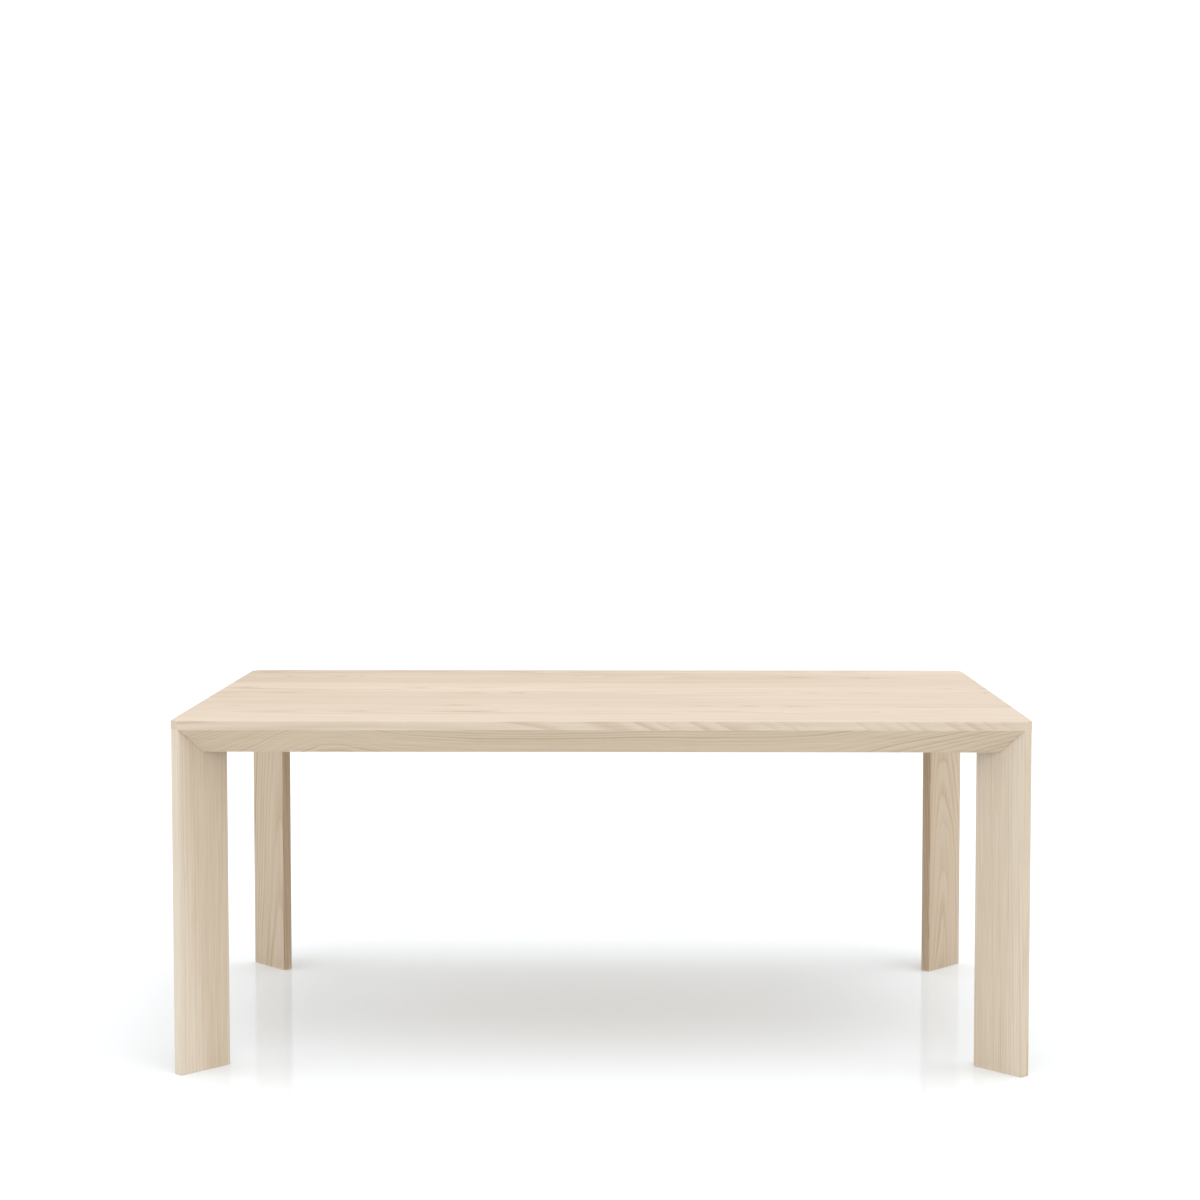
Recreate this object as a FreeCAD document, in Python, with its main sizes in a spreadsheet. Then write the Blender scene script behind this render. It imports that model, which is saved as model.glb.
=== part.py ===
import FreeCAD, Part
import math
import os

import Sketcher

# Communion table: an edge-glued hardwood top on a bevelled apron, with four plank legs that stand on the
# diagonals of the corners. A mitred block behind each leg ties it to two apron rails with hanger bolts.
#
# Frame: origin on the floor below the centre of the top, +X along the length to the right, +Y to the rear,
# +Z up. Millimetres throughout.
#
# Three local frames are used, and each finished piece gets its Placement from there:
#   rail frame    origin in the middle of the rail's nominal outer face, at the rail's underside;
#                 +X along the rail, +Y towards the inside of the table
#   corner frame  origin on the floor below the middle of the corner facet; +X along the diagonal, inwards
#   fastener      axis on Z, head or seat at Z = 0, shank pointing to +Z

doc = FreeCAD.newDocument("CommunionTable")
sheet = doc.addObject("Spreadsheet::Sheet", "Size")

# ---------------------------------------------------------------- driving dimensions

DIMENSIONS = [
    ("Length", 1828.8, "length of the top, 72 in"),
    ("Width", 1066.8, "depth of the top, 42 in"),
    ("Height", 762.0, "floor to top surface, 30 in"),
    ("TopThick", 19.05, "thickness of the top boards, 3/4 in"),
    ("EdgeEase", 1.6, "rounding of the top's upper edges"),
    ("CornerEase", 1.0, "rounding of the top's upright corners"),
    ("RailHigh", 52.4, "height of the apron rails, 2-1/16 in"),
    ("RailWide", 50.8, "width of the apron rails at their upper face, 2 in"),
    ("BevelRun", 44.45, "how far the rail's bevel runs inwards, 1-3/4 in"),
    ("RailEase", 1.0, "rounding of a rail's lower edges"),
    ("JointGap", 0.5, "hairline between a rail's end and a leg"),
    ("LegThick", 25.4, "thickness of the leg planks, 1 in"),
    ("LegWide", 127.0, "width of the leg planks, 5 in"),
    ("LegOuterEase", 2.5, "rounding of a leg's outer upright edges"),
    ("LegInnerEase", 3.0, "rounding of a leg's inner upright edges, 1/8 in"),
    ("FootEase", 1.0, "chamfer round the foot"),
    ("BlockThick", 35.0, "thickness of the corner blocks"),
    ("BlockHigh", 44.45, "height of the corner blocks, 1-3/4 in"),
    ("InnerEase", 2.0, "chamfer on the lower edges of blocks and battens"),
    ("BattenWide", 63.5, "width of the cross battens, 2-1/2 in"),
    ("BattenThick", 22.2, "thickness of the cross battens, 7/8 in"),
    ("BattenPitch", 457.2, "spacing of the cross battens, 18 in"),
    ("BattenGap", 3.0, "room between a batten's end and the rail"),
    ("BoltDia", 7.9, "hanger bolts, 5/16 in"),
    ("BoltGrip", 38.0, "length of the hanger bolt's wood thread in the leg"),
    ("BoltTail", 13.0, "length of the hanger bolt behind the corner block"),
    ("BoltDrop", 12.0, "upper hanger bolt below the top's underside"),
    ("BoltPitch", 21.0, "distance between the two hanger bolts of a leg"),
    ("WasherDia", 18.0, "washers of the hanger bolts"),
    ("WasherThick", 1.6, "thickness of the washers"),
    ("NutFlats", 12.7, "hex nut across the flats, 1/2 in"),
    ("NutHigh", 6.7, "height of the hex nut"),
    ("ScrewDia", 4.2, "shank of the wood screws, number 8"),
    ("ScrewHeadDia", 8.2, "head of the wood screws"),
    ("ScrewHeadHigh", 3.0, "height of the pan head"),
    ("BlockScrewLong", 38.0, "screws from corner block to rail, 1-1/2 in"),
    ("BlockScrewDrop", 20.0, "block screws below the top's underside"),
    ("BattenScrewLong", 35.0, "screws from batten to top"),
    ("BattenWasherDia", 13.0, "washers of the batten screws"),
    ("SlotLong", 12.0, "length of the batten's slotted holes"),
    ("ClipScrewLong", 13.0, "screws from clip to top, 1/2 in"),
    ("ClipThick", 1.9, "steel of the tabletop clips"),
    ("ClipWide", 19.0, "width of a tabletop clip"),
    ("ClipReach", 30.0, "length of the clip's leaf under the top"),
    ("GrooveDrop", 12.7, "clip groove below the rail's upper face, 1/2 in"),
    ("GrooveHigh", 3.2, "height of the clip groove, one saw cut"),
    ("GrooveDeep", 9.5, "depth of the clip groove, 3/8 in"),
    ("GlideDia", 19.0, "nylon glides in the feet"),
    ("GlideThick", 4.0, "thickness of a glide"),
    ("GlideProud", 0.5, "how far a glide stands below the foot"),
    ("GlidePitch", 80.0, "distance between the two glides of a leg"),
    ("NailDia", 2.6, "nail of a glide"),
    ("NailLong", 18.0, "length of a glide's nail"),
]
BOARD_WIDTHS = [63.5, 185.7, 179.4, 149.2, 184.2, 166.7]  # front to rear; one more takes up the rest
BOARDS = len(BOARD_WIDTHS) + 1
LONG_CLIPS_AT = [-620.0, -230.0, 230.0, 620.0]  # along a long rail, clear of the battens and blocks
SHORT_CLIPS_AT = [-200.0, 200.0]  # along an end rail


def fill_sheet():
    """Writes each driving dimension as a plain number with an alias."""
    rows = DIMENSIONS + [
        (f"Board{i}", wide, "width of a board of the top") for i, wide in enumerate(BOARD_WIDTHS, 1)
    ]
    for row, (alias, value, words) in enumerate(rows, 1):
        sheet.set(f"A{row}", words)
        sheet.set(f"B{row}", str(value))
        sheet.setAlias(f"B{row}", alias)
    doc.recompute()


fill_sheet()

# Sizes that follow from the driving ones, as expressions.
FACET = "(Size.LegThick / sqrt(2))"  # a corner facet's run along each side of the table
TOP_UNDER = "(Size.Height - Size.TopThick)"  # height of the top's underside
RAIL_UNDER = "(Size.Height - Size.TopThick - Size.RailHigh)"
BLOCK_HALF = "(Size.LegWide + Size.LegThick / 2 - Size.RailWide * sqrt(2))"  # half a block's outer face
BLOCK_BACK = "(Size.LegWide + Size.BlockThick)"  # the block's rear face in the corner frame
BATTEN_UNDER = "(Size.Height - Size.TopThick - Size.BattenThick)"
CLIP_FACE = "(Size.RailWide + 1)"  # the clip's upright, just clear of the rail, in the rail frame
CLIP_SCREW_Y = f"({CLIP_FACE} + Size.ClipReach * 0.62)"

# Corner frames: name, side in X, side in Y, turn of the diagonal about Z.
CORNERS = [
    ("front_left", -1, -1, 45),
    ("front_right", 1, -1, 135),
    ("rear_right", 1, 1, 225),
    ("rear_left", -1, 1, 315),
]
# Rail frames: name, the cell that holds its length, outer face's side in X and in Y, turn about Z.
RAILS = [
    ("front", "Length", 0, -1, 0),
    ("right", "Width", 1, 0, 90),
    ("rear", "Length", 0, 1, 180),
    ("left", "Width", -1, 0, 270),
]

TINY = 0.01  # slack when edges are picked by their place

nodes = []

# ---------------------------------------------------------------- small helpers


def origin_plane(body, role):
    """The body's own XY_Plane, XZ_Plane or YZ_Plane."""
    return next(feature for feature in body.Origin.OriginFeatures if feature.Role == role)


def new_sketch(body, name, role, lift=None):
    """A sketch on one of the body's origin planes, raised along the plane's normal by an expression."""
    sketch = body.newObject("Sketcher::SketchObject", name)
    sketch.AttachmentSupport = (origin_plane(body, role), [""])
    sketch.MapMode = "FlatFace"
    if lift is not None:
        sketch.setExpression("AttachmentOffset.Base.z", lift)
    return sketch


def pin_point(sketch, geometry, point, x, y):
    """Holds one point of a sketch at the expressions x and y from the sketch's origin."""
    for axis, place in (("DistanceX", x), ("DistanceY", y)):
        number = sketch.addConstraint(Sketcher.Constraint(axis, -1, 1, geometry, point, 1.0))
        sketch.setExpression(f"Constraints[{number}]", place)


def outline(sketch, corners):
    """A closed outline of straight lines whose corners are pairs of expressions.

    The corners start on a parabola, so that no three are in line before the solver moves them.
    """
    first = sketch.GeometryCount
    count = len(corners)
    for i in range(count):
        start = FreeCAD.Vector(i, i * i, 0)
        end = FreeCAD.Vector((i + 1) % count, ((i + 1) % count) ** 2, 0)
        sketch.addGeometry(Part.LineSegment(start, end), False)
    for i in range(count):
        joined = first + (i + 1) % count
        sketch.addConstraint(Sketcher.Constraint("Coincident", first + i, 2, joined, 1))
    for i, (x, y) in enumerate(corners):
        pin_point(sketch, first + i, 1, x, y)
    return sketch


def circle(sketch, x, y, radius):
    """A circle with its centre and radius held by expressions."""
    number = sketch.addGeometry(Part.Circle(FreeCAD.Vector(1, 1, 0), FreeCAD.Vector(0, 0, 1), 2.0), False)
    pin_point(sketch, number, 3, x, y)
    held = sketch.addConstraint(Sketcher.Constraint("Radius", number, 2.0))
    sketch.setExpression(f"Constraints[{held}]", radius)


def new_body(name):
    return doc.addObject("PartDesign::Body", name)


def pad(body, sketch, length, midplane=False):
    feature = body.newObject("PartDesign::Pad", "Pad")
    feature.Profile = sketch
    feature.Midplane = midplane
    feature.setExpression("Length", length)
    doc.recompute()
    return feature


def pocket(body, sketch, length=None, midplane=False, reversed_way=False):
    """Cuts a sketch out of the body, right through when no length is given. It has to remove something."""
    before = body.Shape.Volume
    feature = body.newObject("PartDesign::Pocket", "Pocket")
    feature.Profile = sketch
    feature.Midplane = midplane
    feature.Reversed = reversed_way
    if length is None:
        feature.Type = "ThroughAll"
    else:
        feature.setExpression("Length", length)
    doc.recompute()
    if not body.Shape.Volume < before:
        raise RuntimeError(f"{body.Label}: the pocket removed nothing")
    return feature


def dress(body, kind, size, wanted):
    """A PartDesign Fillet or Chamfer on the edges of the body's tip for which wanted(edge) is true."""
    tip = body.Tip
    edges = [f"Edge{i}" for i, edge in enumerate(tip.Shape.Edges, 1) if wanted(edge)]
    feature = body.newObject(f"PartDesign::{kind}", kind)
    feature.Base = (tip, edges)
    feature.setExpression("Radius" if kind == "Fillet" else "Size", size)
    doc.recompute()
    return feature


def turned(name, corners):
    """A body of revolution about Z, from an outline in the XZ plane."""
    body = new_body(name)
    sketch = outline(new_sketch(body, "Outline", "XZ_Plane"), corners)
    feature = body.newObject("PartDesign::Revolution", "Revolution")
    feature.Profile = sketch
    feature.ReferenceAxis = (sketch, ["V_Axis"])
    feature.Angle = 360
    doc.recompute()
    return body


def cut(name, base, tool):
    feature = doc.addObject("Part::Cut", name)
    feature.Base = base
    feature.Tool = tool
    return feature


def compound(name, links):
    feature = doc.addObject("Part::Compound", name)
    feature.Links = links
    return feature


def linked(name, source):
    link = doc.addObject("App::Link", name)
    link.LinkedObject = source
    return link


def put(feature, x="0", y="0", z="0", rotation=None):
    """Places an object at three expressions, with a fixed rotation."""
    if rotation is not None:
        feature.Placement = FreeCAD.Placement(FreeCAD.Vector(), rotation)
    for axis, place in zip("xyz", (x, y, z)):
        feature.setExpression(f"Placement.Base.{axis}", place)
    return feature


def about_z(degrees):
    return FreeCAD.Rotation(FreeCAD.Vector(0, 0, 1), degrees)


def put_in_corner(feature, corner):
    """Moves a piece from the corner frame to its corner of the table."""
    _, side_x, side_y, turn = corner
    return put(
        feature,
        f"{side_x} * (Size.Length - {FACET}) / 2",
        f"{side_y} * (Size.Width - {FACET}) / 2",
        "0",
        about_z(turn),
    )


def put_on_rail(feature, rail):
    """Moves a piece from the rail frame to its side of the table."""
    _, _, side_x, side_y, turn = rail
    x, y = f"{side_x} * Size.Length / 2", f"{side_y} * Size.Width / 2"
    return put(feature, x, y, RAIL_UNDER, about_z(turn))


def keep(feature, label):
    """Marks an object as a finished piece, whose label names its file."""
    feature.Label = label
    nodes.append(feature)
    return feature


# ---------------------------------------------------------------- fasteners, each once in its own frame


def cross_outline(reach, slimness):
    """The twelve corners of a cross whose arms are reach long, and slimness times that to each side."""
    corners = []
    quarter = [(1, -slimness), (1, slimness), (slimness, slimness)]
    for _ in range(4):
        corners += [(f"{u} * {reach}", f"{v} * {reach}") for u, v in quarter]
        quarter = [(-v, u) for u, v in quarter]
    return corners


def pan_head_screw(name, length):
    """A wood screw: a chamfered pan head below Z = 0, a cross recess in it, and a pointed shank above."""
    head = "Size.ScrewHeadDia / 2"
    shank = "Size.ScrewDia / 2"
    body = turned(
        name,
        [
            ("0", "-Size.ScrewHeadHigh"),
            (f"{head} * 0.6", "-Size.ScrewHeadHigh"),
            (f"{head} * 0.9", "-Size.ScrewHeadHigh * 0.72"),
            (head, "-Size.ScrewHeadHigh * 0.4"),
            (head, "0"),
            (shank, "0"),
            (shank, f"{length} - Size.ScrewDia * 1.6"),
            ("0", length),
        ],
    )
    cross = new_sketch(body, "Cross", "XY_Plane", "-Size.ScrewHeadHigh")
    outline(cross, cross_outline("Size.ScrewHeadDia * 0.29", 0.24))
    pocket(body, cross, "Size.ScrewHeadHigh * 0.6", reversed_way=True)
    return body


def hanger_bolt():
    """Lies from the pointed wood end in the leg to the chamfered machine end behind the block."""
    radius = "Size.BoltDia / 2"
    end = "Size.BoltGrip + Size.BlockThick + Size.BoltTail"
    return turned(
        "HangerBoltMaster",
        [
            ("0", "0"),
            (f"{radius} * 0.35", "0"),
            (radius, "Size.BoltDia * 0.8"),
            (radius, f"{end} - 1.2"),
            (f"{radius} - 1.2", end),
            ("0", end),
        ],
    )


def washer(name, outer, hole):
    """A flat ring from Z = 0 up."""
    return turned(
        name,
        [
            (f"{hole} / 2", "0"),
            (f"{outer} / 2", "0"),
            (f"{outer} / 2", "Size.WasherThick"),
            (f"{hole} / 2", "Size.WasherThick"),
        ],
    )


def hex_nut():
    """A hexagon with a plain bore and both faces chamfered, from Z = 0 up."""
    body = new_body("HexNutMaster")
    sketch = new_sketch(body, "Hexagon", "XY_Plane")
    reach = "Size.NutFlats / sqrt(3)"
    outline(sketch, [(f"{reach} * cos({60 * i})", f"{reach} * sin({60 * i})") for i in range(6)])
    circle(sketch, "0", "0", "Size.BoltDia / 2")
    pad(body, sketch, "Size.NutHigh")
    ring = new_sketch(body, "ChamferRing", "XZ_Plane")
    outline(
        ring,
        [
            (f"{reach} * 0.93", "Size.NutHigh"),
            (f"{reach} * 1.05", "Size.NutHigh"),
            (f"{reach} * 1.05", f"Size.NutHigh - {reach} * 0.07"),
        ],
    )
    groove = body.newObject("PartDesign::Groove", "Chamfer")
    groove.Profile = ring
    groove.ReferenceAxis = (ring, ["V_Axis"])
    groove.Angle = 360
    doc.recompute()
    return body


def foot_glide():
    """A domed nylon disc with its nail, drawn as it stands: bearing face at Z = 0, nail up."""
    disc = "Size.GlideDia / 2"
    nail = "Size.NailDia / 2"
    return turned(
        "FootGlideMaster",
        [
            ("0", "0"),
            (f"{disc} - 1.2", "0"),
            (disc, "0.8"),
            (disc, "Size.GlideThick"),
            (nail, "Size.GlideThick"),
            (nail, "Size.GlideThick + Size.NailLong - 3"),
            ("0", "Size.GlideThick + Size.NailLong"),
        ],
    )


def tabletop_clip():
    """A Z of bent steel in the rail frame, at X = 0: tongue in the rail's groove, leaf under the top."""
    body = new_body("TabletopClipMaster")
    sketch = new_sketch(body, "Section", "YZ_Plane")
    thick = "Size.ClipThick"
    under = "(Size.RailHigh - Size.GrooveDrop - Size.ClipThick / 2)"
    tongue = "Size.RailWide - Size.GrooveDeep + 1.5"
    outline(
        sketch,
        [
            (tongue, under),
            (f"{CLIP_FACE} + {thick}", under),
            (f"{CLIP_FACE} + {thick}", f"Size.RailHigh - {thick}"),
            (f"{CLIP_FACE} + Size.ClipReach", f"Size.RailHigh - {thick}"),
            (f"{CLIP_FACE} + Size.ClipReach", "Size.RailHigh"),
            (CLIP_FACE, "Size.RailHigh"),
            (CLIP_FACE, f"{under} + {thick}"),
            (tongue, f"{under} + {thick}"),
        ],
    )
    pad(body, sketch, "Size.ClipWide", midplane=True)
    hole = new_sketch(body, "ScrewHole", "XY_Plane", "Size.RailHigh")
    circle(hole, "0", CLIP_SCREW_Y, "Size.ScrewDia / 2 + 0.4")
    pocket(body, hole, f"{thick} + 1")
    return body


# ---------------------------------------------------------------- groups of identical fasteners


def bolt_heights():
    upper = f"{TOP_UNDER} - Size.BoltDrop"
    return [upper, f"{upper} - Size.BoltPitch"]


def along_corner_x(name, source, x):
    """Two copies, one above the other, with their axes along the corner frame's X, seated at x."""
    inwards = FreeCAD.Rotation(FreeCAD.Vector(0, 0, 1), FreeCAD.Vector(1, 0, 0))
    copies = [
        put(linked(f"{name}{i}", source), x, "0", z, inwards) for i, z in enumerate(bolt_heights(), 1)
    ]
    return compound(f"{name}Pair", copies)


def block_screw_places():
    """Seat of each block screw in the corner frame, and the way it points, for both wings of the block.

    A seat is given along the rail and away from its outer face, both from the sharp corner of the table.
    """
    seats = [("Size.RailWide + 111", "Size.RailWide + 19"), ("Size.RailWide + 131", "Size.RailWide + 8.7")]
    places = []
    for side in (-1, 1):
        for along, away in seats:
            x = f"(({along}) + ({away})) / sqrt(2) - Size.LegThick / 2"
            y = f"{side} * (({along}) - ({away})) / sqrt(2)"
            places.append((x, y, FreeCAD.Vector(-1, side, 0)))
    return places


def block_screws(source):
    """The four screws of one corner block, each square to its rail."""
    height = f"{TOP_UNDER} - Size.BlockScrewDrop"
    copies = []
    for i, (x, y, way) in enumerate(block_screw_places(), 1):
        turn = FreeCAD.Rotation(FreeCAD.Vector(0, 0, 1), way)
        copies.append(put(linked(f"BlockScrew{i}", source), x, y, height, turn))
    return compound("BlockScrewSet", copies)


def glide_pair(source):
    half = "Size.GlidePitch / 2"
    copies = [
        put(linked(f"Glide{i}", source), f"Size.LegWide / 2 {sign} {half}") for i, sign in enumerate("-+", 1)
    ]
    return compound("GlidePair", copies)


def in_four_corners(name, source):
    """One compound of a corner's group, repeated at all four corners."""
    copies = [put_in_corner(linked(f"{name}_{corner[0]}", source), corner) for corner in CORNERS]
    return compound(name, copies)


def batten_offsets():
    return [f"{step} * Size.BattenPitch" for step in (-1, 0, 1)]


def board_edge(number):
    """Y of a board's front edge. The edge after the last board is the rear of the top."""
    if number > BOARDS:
        return "(Size.Width / 2)"
    boards_before = "".join(f" + Size.Board{i}" for i in range(1, number))
    return f"(-Size.Width / 2{boards_before})"


def batten_screw_rows():
    """Y of each batten screw: the middle of each board, and of what the rear rail leaves of the last.

    The first board lies on the front rail, out of the battens' reach.
    """
    rows = [f"({board_edge(i)} + {board_edge(i + 1)}) / 2" for i in range(2, BOARDS)]
    rows.append(f"({board_edge(BOARDS)} + {board_edge(BOARDS + 1)} - Size.RailWide) / 2")
    return rows


def under_battens(name, source, z):
    """A fastener at every batten screw's place, at height z."""
    copies = []
    for x in batten_offsets():
        for y in batten_screw_rows():
            copies.append(put(linked(f"{name}At{len(copies) + 1}", source), x, y, z))
    return compound(name, copies)


def on_rails(name, source, y="0", z="0"):
    """A fastener at every clip's place: one set for a long rail and one for an end rail, each used twice."""
    copies = []
    for cell, places in (("Length", LONG_CLIPS_AT), ("Width", SHORT_CLIPS_AT)):
        row = [
            put(linked(f"{name}{cell}{i}", source), str(place), y, z)
            for i, place in enumerate(places, 1)
        ]
        one_rail = compound(f"{name}{cell}", row)
        for rail in RAILS:
            if rail[1] == cell:
                copies.append(put_on_rail(linked(f"{name}_{rail[0]}", one_rail), rail))
    return compound(name, copies)


# ---------------------------------------------------------------- wooden pieces


def board_blank(number):
    """One board of the top. The first and last have their outer corners cut off by the facets."""
    body = new_body(f"BoardBlank{number}")
    half, side = "Size.Length / 2", "Size.Width / 2"
    front, rear = board_edge(number), board_edge(number + 1)
    front_edge = [(f"-{half}", front), (half, front)]
    rear_edge = [(half, rear), (f"-{half}", rear)]
    if number == 1:
        front_edge = [
            (f"-{half}", f"-{side} + {FACET}"),
            (f"-{half} + {FACET}", front),
            (f"{half} - {FACET}", front),
            (half, f"-{side} + {FACET}"),
        ]
    if number == BOARDS:
        rear_edge = [
            (half, f"{side} - {FACET}"),
            (f"{half} - {FACET}", rear),
            (f"-{half} + {FACET}", rear),
            (f"-{half}", f"{side} - {FACET}"),
        ]
    sketch = outline(new_sketch(body, "Outline", "XY_Plane", TOP_UNDER), front_edge + rear_edge)
    pad(body, sketch, "Size.TopThick")

    reach = (sheet.Length + sheet.Width) / 2
    facet = sheet.LegThick / math.sqrt(2)

    def on_rim(box):
        """Whether an edge lies on the rim of the whole top."""
        x, y = abs(box.Center.x), abs(box.Center.y)
        on_side = x > sheet.Length / 2 - TINY or y > sheet.Width / 2 - TINY
        return on_side or x + y > reach - facet - TINY

    def is_corner(edge):
        box = edge.BoundBox
        near_facet = abs(box.Center.x) + abs(box.Center.y) > reach - 2 * facet
        return near_facet and box.ZLength > sheet.TopThick - TINY

    def is_upper_rim(edge):
        return edge.BoundBox.ZMin > sheet.Height - TINY and on_rim(edge.BoundBox)

    if number in (1, BOARDS):
        dress(body, "Fillet", "Size.CornerEase", is_corner)
    dress(body, "Fillet", "Size.EdgeEase", is_upper_rim)
    return body


def rail_blank(cell):
    """A bevelled apron rail in the rail frame, with its ends at 45 degrees and the clip groove inside."""
    body = new_body(f"RailBlank{cell}")
    end = f"(Size.{cell} / 2 - {FACET} - Size.JointGap * sqrt(2))"
    plan = [
        (f"-{end}", "0"),
        (end, "0"),
        (f"{end} - Size.RailWide", "Size.RailWide"),
        (f"-{end} + Size.RailWide", "Size.RailWide"),
    ]
    sketch = outline(new_sketch(body, "Plan", "XY_Plane"), plan)
    pad(body, sketch, "Size.RailHigh")
    bevel = new_sketch(body, "Bevel", "YZ_Plane")
    outline(
        bevel,
        [
            ("0", "Size.RailHigh"),
            ("-Size.BevelRun", "Size.RailHigh"),
            ("-Size.BevelRun", "-Size.RailHigh"),
            ("2 * Size.BevelRun", "-Size.RailHigh"),
        ],
    )
    pocket(body, bevel, midplane=True)
    groove = new_sketch(body, "Groove", "YZ_Plane")
    upper = "Size.RailHigh - Size.GrooveDrop + Size.GrooveHigh / 2"
    inner = "Size.RailWide - Size.GrooveDeep"
    outline(
        groove,
        [
            (inner, f"{upper} - Size.GrooveHigh"),
            ("Size.RailWide + 1", f"{upper} - Size.GrooveHigh"),
            ("Size.RailWide + 1", upper),
            (inner, upper),
        ],
    )
    pocket(body, groove, midplane=True)

    def is_lower(edge):
        return edge.BoundBox.ZMax < TINY and edge.BoundBox.XLength > sheet.RailWide + 1

    dress(body, "Fillet", "Size.RailEase", is_lower)
    return body


def leg_blank():
    """A plank in the corner frame, from the glides' recess up to the top's underside."""
    body = new_body("LegBlank")
    half = "Size.LegThick / 2"
    plan = [("0", f"-{half}"), ("Size.LegWide", f"-{half}"), ("Size.LegWide", half), ("0", half)]
    sketch = outline(new_sketch(body, "Plan", "XY_Plane", "Size.GlideProud"), plan)
    pad(body, sketch, f"{TOP_UNDER} - Size.GlideProud")

    def upright(edge, inner):
        box = edge.BoundBox
        return box.ZLength > sheet.Height / 2 and (box.XMin > sheet.LegWide / 2) == inner

    dress(body, "Fillet", "Size.LegInnerEase", lambda edge: upright(edge, True))
    dress(body, "Fillet", "Size.LegOuterEase", lambda edge: upright(edge, False))
    dress(body, "Chamfer", "Size.FootEase", lambda edge: edge.BoundBox.ZMax < sheet.GlideProud + TINY)
    return body


def block_blank():
    """A corner block: its outer face on the leg's edge, its ends on the inner faces of two rails."""
    body = new_body("BlockBlank")
    wide = f"({BLOCK_HALF} + Size.BlockThick)"
    plan = [
        ("Size.LegWide", f"-{BLOCK_HALF}"),
        (BLOCK_BACK, f"-{wide}"),
        (BLOCK_BACK, wide),
        ("Size.LegWide", BLOCK_HALF),
    ]
    sketch = outline(new_sketch(body, "Plan", "XY_Plane", f"{TOP_UNDER} - Size.BlockHigh"), plan)
    pad(body, sketch, "Size.BlockHigh")
    lower = sheet.Height - sheet.TopThick - sheet.BlockHigh + TINY
    back = sheet.LegWide + sheet.BlockThick - TINY
    dress(body, "Chamfer", "Size.InnerEase", lambda e: e.BoundBox.ZMax < lower and e.BoundBox.XMin > back)
    return body


def drill(name, diameter, length, x, y, z, way):
    """A cylinder to be cut away, from the given point in the given direction."""
    bit = doc.addObject("Part::Cylinder", name)
    bit.setExpression("Radius", f"{diameter} / 2")
    bit.setExpression("Height", length)
    return put(bit, x, y, z, FreeCAD.Rotation(FreeCAD.Vector(0, 0, 1), way))


def block_drills():
    """Clearance holes for the hanger bolts, and a clearance hole and counterbore for each block screw."""
    inwards = FreeCAD.Vector(1, 0, 0)
    start, length = "Size.LegWide - 1", "Size.BlockThick + 2"
    bits = [
        drill(f"BoltHole{i}", "(Size.BoltDia + 1)", length, start, "0", z, inwards)
        for i, z in enumerate(bolt_heights(), 1)
    ]
    height = f"{TOP_UNDER} - Size.BlockScrewDrop"
    for i, (x, y, way) in enumerate(block_screw_places(), 1):
        bits.append(drill(f"ShankHole{i}", "(Size.ScrewDia + 0.8)", "Size.BlockThick", x, y, height, way))
        bits.append(drill(f"HeadHole{i}", "(Size.ScrewHeadDia + 1.8)", "Size.BlockThick", x, y, height, -way))
    return compound("BlockDrills", bits)


def batten_blank():
    """A cross batten, centred on X, with a slot along its length for each screw."""
    body = new_body("BattenBlank")
    half = "Size.BattenWide / 2"
    reach = "(Size.Width / 2 - Size.RailWide - Size.BattenGap)"
    plan = [(f"-{half}", f"-{reach}"), (half, f"-{reach}"), (half, reach), (f"-{half}", reach)]
    sketch = outline(new_sketch(body, "Plan", "XY_Plane", BATTEN_UNDER), plan)
    pad(body, sketch, "Size.BattenThick")
    lower = sheet.Height - sheet.TopThick - sheet.BattenThick + TINY
    dress(body, "Chamfer", "Size.InnerEase", lambda edge: edge.BoundBox.ZMax < lower)
    slots = new_sketch(body, "Slots", "XY_Plane", TOP_UNDER)
    radius, stretch = "(Size.ScrewDia / 2 + 0.4)", "(Size.SlotLong / 2)"
    for row in batten_screw_rows():
        outline(
            slots,
            [
                (f"-{radius}", f"{row} - {stretch}"),
                (radius, f"{row} - {stretch}"),
                (radius, f"{row} + {stretch}"),
                (f"-{radius}", f"{row} + {stretch}"),
            ],
        )
    pocket(body, slots)
    return body


# ---------------------------------------------------------------- assembly

block_screw = pan_head_screw("BlockScrewMaster", "Size.BlockScrewLong")
batten_screw = pan_head_screw("BattenScrewMaster", "Size.BattenScrewLong")
clip_screw = pan_head_screw("ClipScrewMaster", "Size.ClipScrewLong")

bolt_pair = along_corner_x("Bolt", hanger_bolt(), "Size.LegWide - Size.BoltGrip")
bolt_washer = washer("BoltWasherMaster", "Size.WasherDia", "(Size.BoltDia + 0.8)")
washer_pair = along_corner_x("BoltWasher", bolt_washer, BLOCK_BACK)
nut_pair = along_corner_x("Nut", hex_nut(), f"{BLOCK_BACK} + Size.WasherThick")
screw_set = block_screws(block_screw)
glides = glide_pair(foot_glide())

keep(in_four_corners("HangerBolts", bolt_pair), "hanger_bolts")
keep(in_four_corners("HangerWashers", washer_pair), "hanger_washers")
keep(in_four_corners("HangerNuts", nut_pair), "hanger_nuts")
all_block_screws = keep(in_four_corners("BlockScrews", screw_set), "corner_block_screws")
keep(in_four_corners("FootGlides", glides), "foot_glides")

batten_washer = washer("BattenWasherMaster", "Size.BattenWasherDia", "(Size.ScrewDia + 0.6)")
batten_screws = under_battens("BattenScrews", batten_screw, f"{BATTEN_UNDER} - Size.WasherThick")
keep(batten_screws, "batten_screws")
keep(under_battens("BattenWashers", batten_washer, f"{BATTEN_UNDER} - Size.WasherThick"), "batten_washers")

keep(on_rails("Clips", tabletop_clip()), "tabletop_clips")
clip_screws = on_rails("ClipScrews", clip_screw, y=CLIP_SCREW_Y, z="Size.RailHigh - Size.ClipThick")
keep(clip_screws, "clip_screws")

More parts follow.
